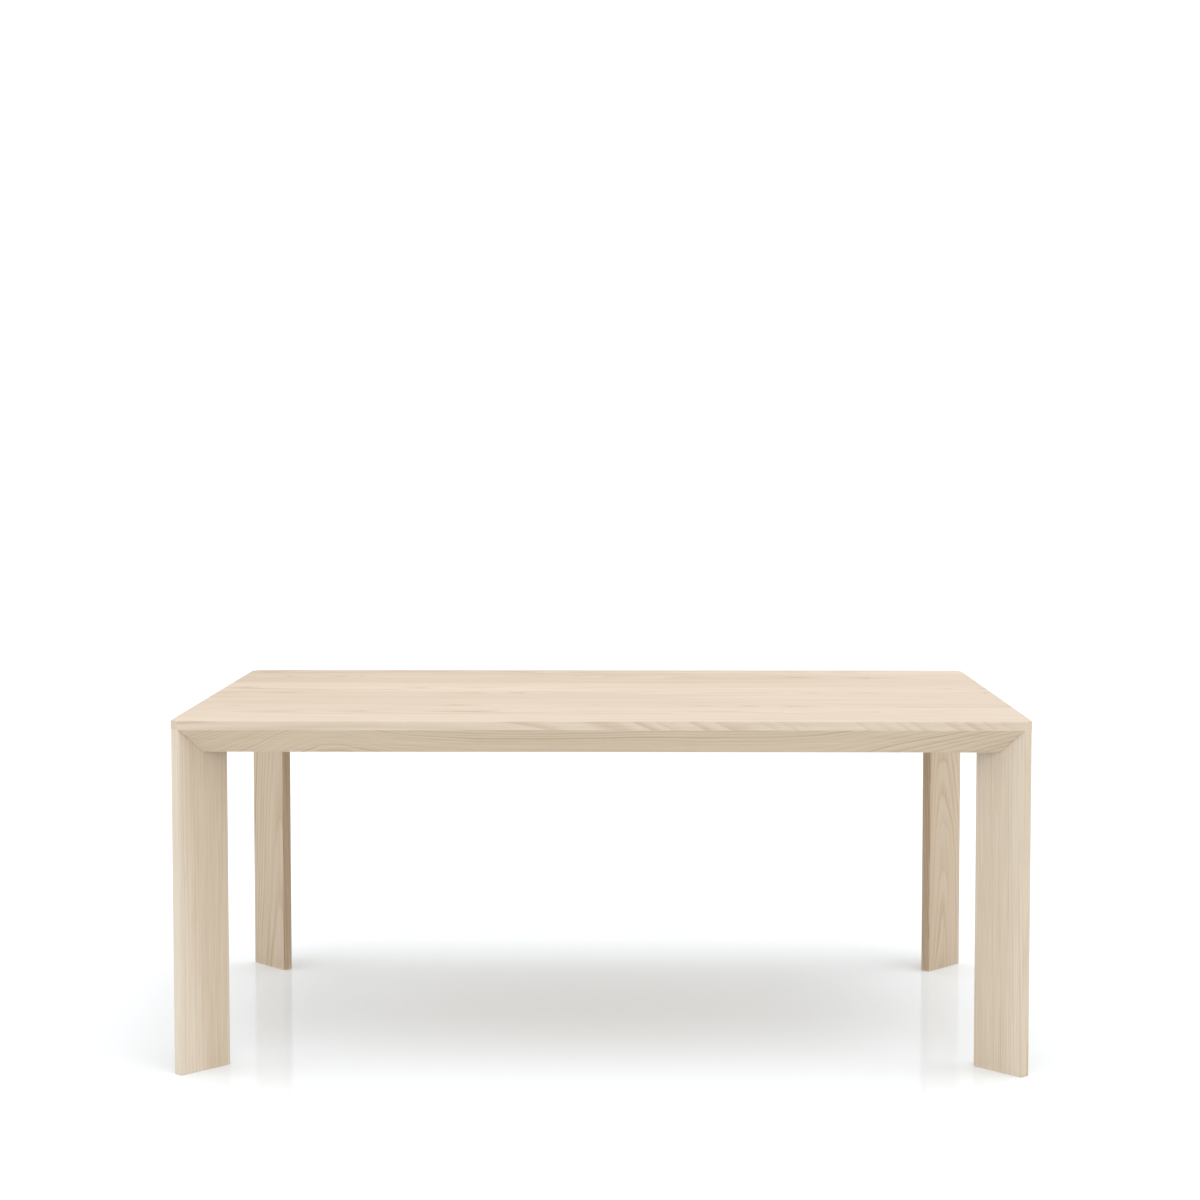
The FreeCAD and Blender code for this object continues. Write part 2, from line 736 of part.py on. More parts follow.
top_screws = compound("TopScrews", [batten_screws, clip_screws])
for number in range(1, BOARDS + 1):
    board = cut(f"Board{number}", board_blank(number), top_screws)
    keep(board, f"top_stave_{number}")

blanks = {cell: rail_blank(cell) for cell in ("Length", "Width")}
for rail in RAILS:
    placed = put_on_rail(linked(f"RailPlaced_{rail[0]}", blanks[rail[1]]), rail)
    keep(cut(f"Rail_{rail[0]}", placed, all_block_screws), f"{rail[0]}_apron_rail")

leg = cut("LegMaster", leg_blank(), compound("LegInserts", [bolt_pair, glides]))
block = cut("BlockMaster", block_blank(), block_drills())
for corner in CORNERS:
    keep(put_in_corner(linked(f"Leg_{corner[0]}", leg), corner), f"{corner[0]}_leg")
    keep(put_in_corner(linked(f"Block_{corner[0]}", block), corner), f"{corner[0]}_corner_block")

batten = batten_blank()
for name, x in zip(("left", "centre", "right"), batten_offsets()):
    keep(put(linked(f"Batten_{name}", batten), x), f"{name}_batten")

# ---------------------------------------------------------------- check and write


def check():
    """Stops unless every object computed and every piece is a valid shape of whole solids."""
    doc.recompute()
    for thing in doc.Objects:
        if "Invalid" in thing.State or "Error" in thing.State:
            raise RuntimeError(f"{thing.Label} ({thing.TypeId}) failed: {thing.State}")
    for node in nodes:
        shape = node.Shape
        if shape.isNull() or not shape.isValid() or not shape.Solids:
            raise RuntimeError(f"{node.Label} has no valid solid")


def write():
    os.makedirs("parts", exist_ok=True)
    for node in nodes:
        node.Shape.exportStep(os.path.join("parts", f"{node.Label}.step"))
        print(f"{node.Label}: {len(node.Shape.Solids)} solids, {node.Shape.Volume / 1000:.1f} cm3")


check()
write()
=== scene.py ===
"""Looks of the communion table: materials, threaded hanger bolts, floor, light and camera.

Everything is in metres, in the part's own frame: origin on the floor below the centre of the top,
+X to the right, +Y to the rear, +Z up.
"""

import math

import bmesh
import bpy
from mathutils import Euler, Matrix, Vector


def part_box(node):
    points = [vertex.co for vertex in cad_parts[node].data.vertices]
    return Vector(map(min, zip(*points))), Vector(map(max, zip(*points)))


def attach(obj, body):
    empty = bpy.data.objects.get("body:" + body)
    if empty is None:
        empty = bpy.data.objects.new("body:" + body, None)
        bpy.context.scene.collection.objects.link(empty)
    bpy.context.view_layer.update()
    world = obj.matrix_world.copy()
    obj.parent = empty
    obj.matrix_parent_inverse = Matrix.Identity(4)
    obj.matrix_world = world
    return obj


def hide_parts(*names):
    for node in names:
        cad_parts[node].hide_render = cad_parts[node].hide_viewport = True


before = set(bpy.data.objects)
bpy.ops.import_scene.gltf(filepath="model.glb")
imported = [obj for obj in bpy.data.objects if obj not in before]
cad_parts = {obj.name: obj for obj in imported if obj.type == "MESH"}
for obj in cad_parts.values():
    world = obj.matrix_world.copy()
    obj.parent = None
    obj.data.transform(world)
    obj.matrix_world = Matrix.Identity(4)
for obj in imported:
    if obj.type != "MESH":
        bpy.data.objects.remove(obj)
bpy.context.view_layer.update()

X = Vector((1, 0, 0))
Y = Vector((0, 1, 0))
Z = Vector((0, 0, 1))


# ---------------------------------------------------------------- node trees

class Tree:
    """Adds nodes to a node tree. A value may be another node's output, a number or a tuple."""

    MIX_FACTOR, MIX_FIRST, MIX_SECOND = 0, 6, 7
    MIX_RESULT = 2

    def __init__(self, tree):
        self.tree = tree

    def feed(self, socket, value):
        if isinstance(value, bpy.types.NodeSocket):
            self.tree.links.new(value, socket)
        else:
            socket.default_value = value

    def add(self, kind, inputs=None, **settings):
        node = self.tree.nodes.new(kind)
        for name, value in settings.items():
            setattr(node, name, value)
        for name, value in (inputs or {}).items():
            self.feed(node.inputs[name], value)
        return node

    def math(self, operation, *values, clamp=False):
        node = self.add("ShaderNodeMath", operation=operation, use_clamp=clamp)
        for socket, value in zip(node.inputs, values):
            self.feed(socket, value)
        return node.outputs[0]

    def vector(self, operation, *values, output="Vector"):
        node = self.add("ShaderNodeVectorMath", operation=operation)
        for socket, value in zip(node.inputs, values):
            self.feed(socket, value)
        return node.outputs[output]

    def mix_shaders(self, factor, first, second):
        return self.add("ShaderNodeMixShader", {0: factor, 1: first, 2: second}).outputs["Shader"]

    def position(self):
        """The point being shaded, in the object's own coordinates."""
        return self.add("ShaderNodeTexCoord").outputs["Object"]

    def split(self, vector):
        """The X, Y and Z of a vector."""
        return self.add("ShaderNodeSeparateXYZ", {"Vector": vector}).outputs

    def bump(self, strength, distance, height):
        inputs = {"Strength": strength, "Distance": distance, "Height": height}
        return self.add("ShaderNodeBump", inputs).outputs["Normal"]

    def scaled(self, vector, factor):
        node = self.add("ShaderNodeVectorMath", operation="SCALE")
        self.feed(node.inputs[0], vector)
        self.feed(node.inputs["Scale"], factor)
        return node.outputs["Vector"]

    def noise(self, vector, scale=1.0, detail=2.0, roughness=0.5, distortion=0.0):
        inputs = {
            "Vector": vector,
            "Scale": scale,
            "Detail": detail,
            "Roughness": roughness,
            "Distortion": distortion,
        }
        return self.add("ShaderNodeTexNoise", inputs).outputs["Fac"]

    def centred_noise(self, *values, **settings):
        return self.math("SUBTRACT", self.noise(*values, **settings), 0.5)

    def ease(self, value, low, high, start=0.0, end=1.0):
        """start where value is low, end where it is high, and a smooth change between them."""
        inputs = {"Value": value, "From Min": low, "From Max": high, "To Min": start, "To Max": end}
        node = self.add("ShaderNodeMapRange", inputs, interpolation_type="SMOOTHSTEP")
        return node.outputs["Result"]

    def mix(self, factor, first, second):
        node = self.add("ShaderNodeMix", data_type="RGBA")
        self.feed(node.inputs[self.MIX_FACTOR], factor)
        self.feed(node.inputs[self.MIX_FIRST], first)
        self.feed(node.inputs[self.MIX_SECOND], second)
        return node.outputs[self.MIX_RESULT]

    def weighted_sum(self, start, *terms):
        """start plus each value times its weight."""
        total = start
        for value, weight in terms:
            total = self.math("MULTIPLY_ADD", value, weight, total)
        return total


def new_group(name, inputs, outputs):
    """An empty node group, its Tree, and its input and output nodes."""
    group = bpy.data.node_groups.new(name, "ShaderNodeTree")
    for label, kind in inputs:
        group.interface.new_socket(label, in_out="INPUT", socket_type="NodeSocket" + kind)
    for label, kind in outputs:
        group.interface.new_socket(label, in_out="OUTPUT", socket_type="NodeSocket" + kind)
    tree = Tree(group)
    return group, tree, tree.add("NodeGroupInput").outputs, tree.add("NodeGroupOutput").inputs


def new_material(name):
    """A new material, its Tree and its shader."""
    material = bpy.data.materials.new(name)
    material.use_nodes = True
    return material, Tree(material.node_tree), material.node_tree.nodes["Principled BSDF"]


def edge_wear(tree, radius, seed_vector):
    """1 on an arris and 0 on a flat face, broken up a little."""
    rounded = tree.add("ShaderNodeBevel", {"Radius": radius}, samples=4).outputs["Normal"]
    true_normal = tree.add("ShaderNodeNewGeometry").outputs["Normal"]
    turn = tree.vector("DOT_PRODUCT", rounded, true_normal, output="Value")
    arris = tree.ease(tree.math("SUBTRACT", 1.0, turn), 0.01, 0.2)
    patches = tree.noise(seed_vector, scale=30.0, detail=2.0)
    return tree.math("MULTIPLY", arris, tree.ease(patches, 0.3, 0.7, 0.45, 1.0))


def painted_crevice_shade(tree, reach, open_from, open_to):
    """Painted shade: 1 deep in a joint or an inside corner, where shade falls, and 0 in the open.
    Walls count within reach, in metres.
    """
    openness = tree.add("ShaderNodeAmbientOcclusion", {"Distance": reach}, samples=4).outputs["AO"]
    return tree.ease(openness, open_from, open_to, 1.0, 0.0)


# ---------------------------------------------------------------- wood

MIDDLE_TONE = 0.60  # a board's own tone, and its painted light and shade by facing, come on top of this
WOOD_ARRIS = 0.002  # how far from an edge the wood is rubbed
PAINTED_SHADE_REACH = 0.006  # how near another board has to be for painted shade in a joint
FOOT_FADE = 0.01, 0.04  # heights between which the floor stops counting as a wall for the painted joint shade


def make_wood_group():
    """Solid hardwood in grain coordinates in metres: x along the grain, y and z across it.
    Its colour also carries painted shade in joints and inside corners, and painted light and shade
    by which way a face looks.
    """
    group, tree, given, result = new_group(
        "SolidWood",
        [
            ("Place", "Vector"),
            ("Pith", "Vector"),
            ("Drift", "Vector"),
            ("Lift", "Float"),
            ("Ring Width", "Float"),
            ("Wander", "Float"),
            ("Line", "Float"),
            ("Cloud", "Float"),
            ("Tone", "Float"),
            ("Shade", "Vector"),
            ("Endness", "Float"),
            ("Painted Facing Light", "Float"),
            ("Seed", "Vector"),
            ("Light", "Color"),
            ("Dark", "Color"),
        ],
        [("Color", "Color"), ("Roughness", "Float"), ("Height", "Float")],
    )
    place = given["Place"]
    seeded = tree.vector("ADD", place, given["Seed"])
    along = tree.split(place)["X"]

    def stretched(length, width):
        """Noise coordinates for streaks of about this length and width in metres."""
        return tree.vector("MULTIPLY", seeded, (1 / length, 1 / width, 1 / width))

    # distance from the tree's pith, bent by slow wandering
    pith_line = tree.vector("ADD", given["Pith"], tree.scaled(given["Drift"], along))
    off_pith = tree.vector("MULTIPLY", tree.vector("SUBTRACT", place, pith_line), (0, 1, 1))
    radius = tree.vector("LENGTH", off_pith, output="Value")
    slow_bend = tree.centred_noise(stretched(0.75, 0.16), detail=1.0)
    quick_bend = tree.centred_noise(stretched(0.16, 0.05), detail=1.0)
    bend = tree.weighted_sum(0.0, (slow_bend, 1.0), (quick_bend, 0.16))
    radius = tree.math("MULTIPLY_ADD", bend, given["Wander"], radius)
    radius = tree.math("SUBTRACT", radius, given["Lift"])

    # growth rings of uneven width and strength: a sharp start and a slow fade
    count = tree.math("DIVIDE", radius, given["Ring Width"])
    spacing = {"W": count, "Scale": 0.31, "Detail": 1.0}
    uneven = tree.add("ShaderNodeTexNoise", spacing, noise_dimensions="1D")
    count = tree.weighted_sum(count, (uneven.outputs["Fac"], 1.9))
    phase = tree.math("FRACT", count)
    ring = tree.math("FLOOR", count)
    luck = tree.add("ShaderNodeTexWhiteNoise", {"W": ring}, noise_dimensions="1D").outputs["Value"]
    fade = tree.ease(phase, 0.02, 0.62, 1.0, 0.0)
    onset = tree.ease(phase, 0.86, 1.0)
    line = tree.math("MAXIMUM", fade, onset)
    line = tree.math("MULTIPLY", line, tree.ease(luck, 0.0, 1.0, 0.25, 1.0))
    faintness = tree.ease(tree.noise(stretched(0.5, 0.05), detail=2.0), 0.3, 0.7, 0.45, 1.15)
    line = tree.math("MULTIPLY", line, faintness)

    # fibres, pores and broad clouds of tone
    fibre = tree.centred_noise(stretched(0.20, 0.0045), detail=3.0, roughness=0.6)
    hair = tree.centred_noise(stretched(0.05, 0.0009), detail=2.0)
    pore = tree.ease(tree.noise(stretched(0.0035, 0.00035), detail=1.0), 0.6, 0.74)
    pore = tree.math("MULTIPLY", pore, tree.math("MULTIPLY_ADD", line, 0.8, 0.2))
    cloud = tree.centred_noise(stretched(0.9, 0.11), detail=2.0)

    shade = tree.vector("DOT_PRODUCT", place, given["Shade"], output="Value")
    tone = tree.math("ADD", tree.math("ADD", given["Tone"], MIDDLE_TONE), shade)
    # painted light and shade: lighter or darker by which way the face looks across the board
    tone = tree.math("ADD", tone, given["Painted Facing Light"])
    tone = tree.math("MULTIPLY_ADD", cloud, given["Cloud"], tone)
    tone = tree.math("SUBTRACT", tone, tree.math("MULTIPLY", line, given["Line"]))
    tone = tree.weighted_sum(tone, (fibre, 0.44), (hair, 0.24), (pore, -0.20))
    tone = tree.weighted_sum(tone, (given["Endness"], -0.18))

    # rubbed edges, and painted shade in joints and inside corners
    wear = edge_wear(tree, WOOD_ARRIS, seeded)
    off_floor = tree.ease(tree.split(tree.position())["Z"], *FOOT_FADE)
    # painted shade: the wood darkens near another board or an inside corner, but not by the floor
    painted_joint_shade = tree.math("MULTIPLY", painted_crevice_shade(tree, PAINTED_SHADE_REACH, 0.30, 0.80), off_floor)
    tone = tree.weighted_sum(tone, (wear, 0.08), (painted_joint_shade, -0.50))
    tone = tree.math("MULTIPLY", tone, 1.0, clamp=True)
    tree.feed(result["Color"], tree.mix(tone, given["Dark"], given["Light"]))

    rough = tree.weighted_sum(0.50, (fibre, 0.14), (hair, 0.10), (line, 0.06), (wear, -0.07))
    tree.feed(result["Roughness"], rough)
    relief = tree.weighted_sum(0.5, (line, -0.30), (pore, -0.55), (hair, 0.30), (fibre, 0.35))
    tree.feed(result["Height"], relief)
    return group


WOOD = make_wood_group()

SAPWOOD_EDGE = -0.055, 0.0  # across a board, where its sapwood starts to fade and where it ends

# light and dark of each finish; the rails' also carry painted shade, and the rear legs' are a shaded
# copy of the legs'
TOP_TONES = (0.720, 0.620, 0.505), (0.440, 0.325, 0.215)
# partly the rails' own wood, partly painted shade: warmer and darker than the top for the
# downward-facing apron
RAIL_WOOD_AND_SHADE_TONES = (0.700, 0.590, 0.460), (0.400, 0.272, 0.155)
LEG_TONES = (0.770, 0.690, 0.580), (0.425, 0.288, 0.158)
# painted shade: the legs' wood, darkened and warmed for the rear legs under the table
REAR_LEG_SHADED_TONES = (0.710, 0.610, 0.480), (0.380, 0.255, 0.145)
FRAME_TONES = (0.690, 0.560, 0.400), (0.400, 0.270, 0.150)


def grain_place(tree, centre, along, across):
    """Coordinates in metres from a board's centre: along the grain, across it, and through it."""
    spot = tree.vector("SUBTRACT", tree.position(), tuple(centre))
    through = along.cross(across)
    parts = {
        name: tree.vector("DOT_PRODUCT", spot, tuple(axis), output="Value")
        for name, axis in (("X", along), ("Y", across), ("Z", through))
    }
    return tree.add("ShaderNodeCombineXYZ", parts).outputs["Vector"]


def wood_material(name, along, across, tones, seed, pith, drift=(0, 0), ring=0.006, wander=0.02,
                  line=0.5, cloud=0.5, tone=0.0, shade=(0, 0, 0), painted_facing_light=0.0, sapwood=0.0,
                  spread=0.0, lift=None):
    """The material of one board. Lengths are in metres, tones run from 0 dark to 1 light.

    pith is the tree's centre off the board's own, across and through it, and drift how far the pith
    strays per metre of board. shade is how much lighter the wood gets per metre along, across and
    through. painted_facing_light is painted light and shade: how much lighter the faces that face
    across the board are, with the faces that face the other way as much darker. sapwood is how much
    lighter its outer third is, and spread how much that third widens per metre of board. lift lists
    (place along the board, how far the grain is lifted there).
    """
    low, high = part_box(name)
    material, tree, shader = new_material("wood_" + name)
    place = grain_place(tree, (low + high) / 2, along, across)
    normal = tree.add("ShaderNodeNewGeometry").outputs["Normal"]
    facing = tree.vector("DOT_PRODUCT", normal, tuple(along), output="Value")
    endness = tree.ease(tree.math("ABSOLUTE", facing), 0.75, 0.98)
    edgeness = tree.vector("DOT_PRODUCT", normal, tuple(across), output="Value")
    spot = tree.split(place)
    depth = tree.math("MULTIPLY_ADD", spot["X"], spread, spot["Y"])
    wood = tree.add("ShaderNodeGroup", node_tree=WOOD)
    values = {
        "Place": place,
        "Pith": (0, *pith),
        "Drift": (0, *drift),
        "Lift": 0.0 if lift is None else lift_curve(tree, place, lift),
        "Ring Width": ring,
        "Wander": wander,
        "Line": line,
        "Cloud": cloud,
        "Tone": tree.ease(depth, *SAPWOOD_EDGE, tone + sapwood, tone) if sapwood else tone,
        "Shade": shade,
        "Endness": endness,
        "Painted Facing Light": tree.math("MULTIPLY", edgeness, painted_facing_light),
        "Seed": (seed * 1.37, seed * 0.71, seed * 0.53),
        "Light": (*tones[0], 1),
        "Dark": (*tones[1], 1),
    }
    for label, value in values.items():
        tree.feed(wood.inputs[label], value)
    tree.feed(shader.inputs["Base Color"], wood.outputs["Color"])
    tree.feed(shader.inputs["Roughness"], wood.outputs["Roughness"])
    tree.feed(shader.inputs["Normal"], tree.bump(0.5, 0.0002, wood.outputs["Height"]))
    shader.inputs["Specular IOR Level"].default_value = 0.25
    shader.inputs["Sheen Weight"].default_value = 0.05
    shader.inputs["Sheen Roughness"].default_value = 0.5
    paint(name, material)


def lift_curve(tree, place, points):
    """A smooth curve through points of (place along the board, lift), in metres."""
    start, end = points[0][0], points[-1][0]
    lowest = min(lift for _, lift in points)
    span = max(lift for _, lift in points) - lowest
    share = tree.math("DIVIDE", tree.math("SUBTRACT", tree.split(place)["X"], start), end - start)
    node = tree.add("ShaderNodeFloatCurve", {"Value": share})
    curve = node.mapping.curves[0]
    for _ in points[2:]:
        curve.points.new(0.5, 0.5)
    for point, (spot, lift) in zip(curve.points, points):
        point.location = ((spot - start) / (end - start), (lift - lowest) / span)
    node.mapping.update()
    return tree.math("MULTIPLY_ADD", node.outputs["Value"], span, lowest)


def paint(name, material):
    """Gives a CAD node or a new piece its material."""
    mesh = bpy.data.objects[name].data
    mesh.materials.clear()
    mesh.materials.append(material)


def paint_top():
    """Seven boards, front to rear, all with the grain along the table and a figure of their own."""
    staves = (
        dict(pith=(0.60, -0.07), ring=0.0030, wander=0.006, line=0.36, cloud=0.22, tone=0.04,
             painted_facing_light=-0.10,
             lift=[(-0.92, 0.0), (-0.25, 0.002), (0.0, -0.004), (0.6, -0.034), (0.92, -0.056)]),
        dict(pith=(0.02, -0.16), drift=(0.010, 0.020), line=0.36, tone=-0.02, shade=(0.05, 0, 0)),
        dict(pith=(-0.05, -0.11), drift=(0.0, -0.025), line=0.44, tone=-0.07, shade=(0.02, 0, 0)),
        dict(pith=(0.04, -0.13), drift=(0.010, 0.030), line=0.46, tone=-0.09, shade=(0.05, 0, 0)),
        dict(pith=(-0.03, -0.15), drift=(0.0, 0.020), line=0.46, tone=-0.04, shade=(0.03, 0, 0)),
        dict(pith=(0.05, -0.12), drift=(-0.010, -0.030), line=0.48, tone=-0.19, shade=(0.10, 0, 0)),
        dict(pith=(0.02, -0.16), drift=(0.0, 0.025), line=0.50, tone=-0.17, shade=(0.13, 0, 0)),
    )
    usual = dict(ring=0.006, wander=0.03, cloud=0.38, painted_facing_light=-0.06)
    for number, figure in enumerate(staves, 1):
        name = f"top_stave_{number}"
        wood_material(name, X, Y, TOP_TONES, seed=float(number), **{**usual, **figure})


def paint_rails():
    """Long rails with the grain along the table, end rails with the grain across it."""
    sweep = [(-0.90, -0.060), (-0.75, -0.018), (-0.62, 0.026), (-0.575, 0.034), (-0.52, 0.026),
             (-0.40, 0.006), (-0.20, 0.0), (0.10, 0.0), (0.40, 0.008), (0.65, 0.045), (0.90, 0.100)]
    wood_material("front_apron_rail", X, Z, RAIL_WOOD_AND_SHADE_TONES, seed=11.0, pith=(-0.35, 0.05), ring=0.0085,
                  wander=0.03, line=0.40, cloud=0.24, tone=0.09, lift=sweep)
    usual = dict(wander=0.05, line=0.55, cloud=0.24, tone=0.04)
    wood_material("rear_apron_rail", X, Z, RAIL_WOOD_AND_SHADE_TONES, seed=12.0, pith=(-0.30, 0.02),
                  drift=(0.05, 0.0), ring=0.009, **usual)
    wood_material("left_apron_rail", Y, Z, RAIL_WOOD_AND_SHADE_TONES, seed=13.0, pith=(0.20, 0.06),
                  drift=(0.04, 0.0), ring=0.008, **usual)
    wood_material("right_apron_rail", Y, Z, RAIL_WOOD_AND_SHADE_TONES, seed=14.0, pith=(-0.16, 0.05),
                  drift=(-0.05, 0.0), ring=0.008, **usual)


def corner_axes(name):
    """Across a leg's plank, level and pointing at the table's centre."""
    low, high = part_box(name)
    middle = (low + high) / 2
    return Vector((-math.copysign(1, middle.x), -math.copysign(1, middle.y), 0)).normalized()


def paint_legs():
    """Legs with upright grain, the front ones with paler sapwood outside; the rear right one shows
    arches.
    """
    front_left = dict(seed=21.0, pith=(0.35, 0.02), drift=(0.004, 0), ring=0.007, wander=0.010,
                      line=0.22, cloud=0.30, tone=-0.08, shade=(-0.18, 0, 0), sapwood=0.22,
                      spread=0.06, painted_facing_light=-0.05)
    front_right = dict(seed=22.0, pith=(-0.40, 0.03), drift=(0.012, 0), ring=0.0065, wander=0.020,
                       line=0.26, cloud=0.28, tone=0.05, sapwood=0.11, painted_facing_light=0.18)
    rear_left = dict(seed=23.0, pith=(0.05, -0.09), drift=(0.03, -0.03), ring=0.008, wander=0.02,
                     line=0.40, cloud=0.36, tone=0.02, painted_facing_light=-0.24)
    rear_right = dict(seed=24.0, pith=(0.0, -0.07), drift=(0.0, -0.07), ring=0.007, wander=0.04,
                      line=0.28, cloud=0.36, tone=-0.03, painted_facing_light=-0.17)
    legs = (
        ("front_left_leg", LEG_TONES, front_left),
        ("front_right_leg", LEG_TONES, front_right),
        ("rear_left_leg", REAR_LEG_SHADED_TONES, rear_left),
        ("rear_right_leg", REAR_LEG_SHADED_TONES, rear_right),
    )
    for name, tones, figure in legs:
        wood_material(name, Z, corner_axes(name), tones, **figure)


def paint_frame():
    """Corner blocks and battens of plain, unfinished secondary wood."""
    corners = ("front_left", "front_right", "rear_right", "rear_left")
    for index, corner in enumerate(corners):
        name = corner + "_corner_block"
        inwards = corner_axes(name)
        wood_material(name, Z.cross(inwards), Z, FRAME_TONES, seed=31.0 + index, pith=(0.06, 0.03),
                      drift=(0.02, 0.01), ring=0.005, wander=0.01, line=0.30, cloud=0.25)
    for index, side in enumerate(("left", "centre", "right")):
        wood_material(side + "_batten", Y, X, FRAME_TONES, seed=41.0 + index,
                      pith=(0.01 * index, -0.06), drift=(0.0, 0.02), ring=0.006, wander=0.02,
                      line=0.30, cloud=0.25)


# ---------------------------------------------------------------- steel and nylon

def zinc_material():
    """Zinc plating: a cloudy spangle, a fine grain, and edges that are rubbed bright."""
    material, tree, shader = new_material("zinc_plate")
    spot = tree.position()
    cloud = tree.noise(spot, scale=420.0, detail=3.0)
    grain = tree.noise(spot, scale=2600.0, detail=2.0)
    wear = edge_wear(tree, 0.0004, spot)
    plate = tree.mix(tree.ease(cloud, 0.3, 0.7), (0.42, 0.43, 0.45, 1), (0.62, 0.62, 0.60, 1))
    tree.feed(shader.inputs["Base Color"], tree.mix(wear, plate, (0.72, 0.72, 0.71, 1)))
    rough = tree.weighted_sum(0.30, (cloud, 0.18), (grain, 0.08), (wear, -0.10))
    tree.feed(shader.inputs["Roughness"], rough)
    tree.feed(shader.inputs["Normal"], tree.bump(0.35, 0.00005, grain))
    shader.inputs["Metallic"].default_value = 1.0
    return material


def clip_material():
    """Pressed steel strip: fine rolling lines, cloudy plating and rubbed edges."""
    material, tree, shader = new_material("pressed_steel")
    spot = tree.position()
    rolled = tree.noise(tree.vector("MULTIPLY", spot, (1800, 60, 400)), detail=2.0)
    cloud = tree.noise(spot, scale=160.0, detail=3.0)
    wear = edge_wear(tree, 0.0006, spot)
    plate = tree.mix(tree.ease(cloud, 0.3, 0.7), (0.36, 0.36, 0.36, 1), (0.52, 0.51, 0.49, 1))
    tree.feed(shader.inputs["Base Color"], tree.mix(wear, plate, (0.66, 0.65, 0.63, 1)))
    rough = tree.weighted_sum(0.30, (rolled, 0.22), (cloud, 0.10), (wear, -0.10))
    tree.feed(shader.inputs["Roughness"], rough)
    tree.feed(shader.inputs["Normal"], tree.bump(0.3, 0.00005, rolled))
    shader.inputs["Metallic"].default_value = 1.0
    return material


def nylon_material():
    """Moulded nylon: a fine moulded grain, with grey scuffs and paler edges."""
    material, tree, shader = new_material("moulded_nylon")
    spot = tree.position()
    grain = tree.noise(spot, scale=3200.0, detail=2.0)
    scuff = tree.noise(tree.vector("MULTIPLY", spot, (240, 900, 240)), detail=3.0, distortion=0.6)
    scuff = tree.ease(scuff, 0.52, 0.66)
    wear = edge_wear(tree, 0.0006, spot)
    colour = tree.mix(tree.math("MULTIPLY", scuff, 0.5), (0.56, 0.48, 0.37, 1), (0.36, 0.33, 0.29, 1))
    tree.feed(shader.inputs["Base Color"], tree.mix(wear, colour, (0.66, 0.60, 0.50, 1)))
    tree.feed(shader.inputs["Roughness"], tree.weighted_sum(0.36, (grain, 0.12), (scuff, 0.20)))
    tree.feed(shader.inputs["Normal"], tree.bump(0.4, 0.00006, grain))
    shader.inputs["Subsurface Weight"].default_value = 0.08
    shader.inputs["Subsurface Radius"].default_value = (0.002, 0.0015, 0.001)
    return material


def paint_hardware():
    """Zinc plating on bolts and screws, pressed steel for the clips, nylon for the glides."""
    zinc = zinc_material()
    for name in ("hanger_bolts", "hanger_bolt_threads", "hanger_washers", "hanger_nuts",
                 "corner_block_screws", "batten_screws", "batten_washers", "clip_screws"):
        paint(name, zinc)
    paint("tabletop_clips", clip_material())
    paint("foot_glides", nylon_material())


# ---------------------------------------------------------------- threaded hanger bolts

# lengths along a bolt, and depths below its full radius
POINT = {"length": 0.0063, "inset": 0.0026}
WOOD_THREAD = {"length": 0.0304, "pitch": 0.0032, "depth": 0.0010}
BOLT_THREAD = {"length": 0.025, "pitch": 0.00141, "depth": 0.00075}
SHANK_INSET = 0.0004
END_CHAMFER = 0.0012
RUN_OUT = 0.001  # from the end of a thread to the shank
RINGS_PER_TURN = 4
BOLT_SIDES = 16
SAME_POINT = 1e-5


def islands(mesh):
    """The corner points of each separate solid in a mesh whose faces may not share their corners."""
    shape = bmesh.new()
    shape.from_mesh(mesh)
    bmesh.ops.remove_doubles(shape, verts=shape.verts, dist=SAME_POINT)
    waiting = set(shape.verts)
    solids = []
    for first in shape.verts:
        if first not in waiting:
            continue
        waiting.remove(first)
        reached = [first]
        for vertex in reached:
            joined = {edge.other_vert(vertex) for edge in vertex.link_edges} & waiting
            waiting -= joined
            reached.extend(joined)
        solids.append([vertex.co.copy() for vertex in reached])
    shape.free()
    return solids


def thread_rings(length):
    """The rings of a hanger bolt from its point up, each (distance from the point, pitch, depth)."""

    def threaded(start, thread):
        count = round(thread["length"] / thread["pitch"] * RINGS_PER_TURN)
        step = thread["length"] / count
        turns = [(start + step * i, thread["pitch"], thread["depth"]) for i in range(count)]
        return turns + [(start + thread["length"], None, thread["depth"])]

    shank_start = POINT["length"] + WOOD_THREAD["length"] + RUN_OUT
    shank_end = length - END_CHAMFER - BOLT_THREAD["length"] - RUN_OUT
    return [
        (0.0, None, POINT["inset"]),
        *threaded(POINT["length"], WOOD_THREAD),
        (shank_start, None, SHANK_INSET),
        (shank_end, None, SHANK_INSET),
        *threaded(shank_end + RUN_OUT, BOLT_THREAD),
        (length, None, END_CHAMFER),
    ]


def add_hanger_bolt(shape, point, axis, length, radius):
    """One bolt as a closed skin whose radius follows a helix."""
    side = axis.orthogonal().normalized()
    other = axis.cross(side)
    skin = []
    for distance, pitch, depth in thread_rings(length):
        ring = []
        for step in range(BOLT_SIDES):
            turn = step / BOLT_SIDES
            cut = abs(2 * ((distance / pitch - turn) % 1.0) - 1.0) if pitch else 1.0
            outward = side * math.cos(math.tau * turn) + other * math.sin(math.tau * turn)
            ring.append(shape.verts.new(point + axis * distance + outward * (radius - depth * cut)))
        skin.append(ring)
    for lower, upper in zip(skin, skin[1:]):
        for step in range(BOLT_SIDES):
            after = (step + 1) % BOLT_SIDES
            shape.faces.new((lower[step], lower[after], upper[after], upper[step]))
    shape.faces.new(skin[0][::-1])
    shape.faces.new(skin[-1])


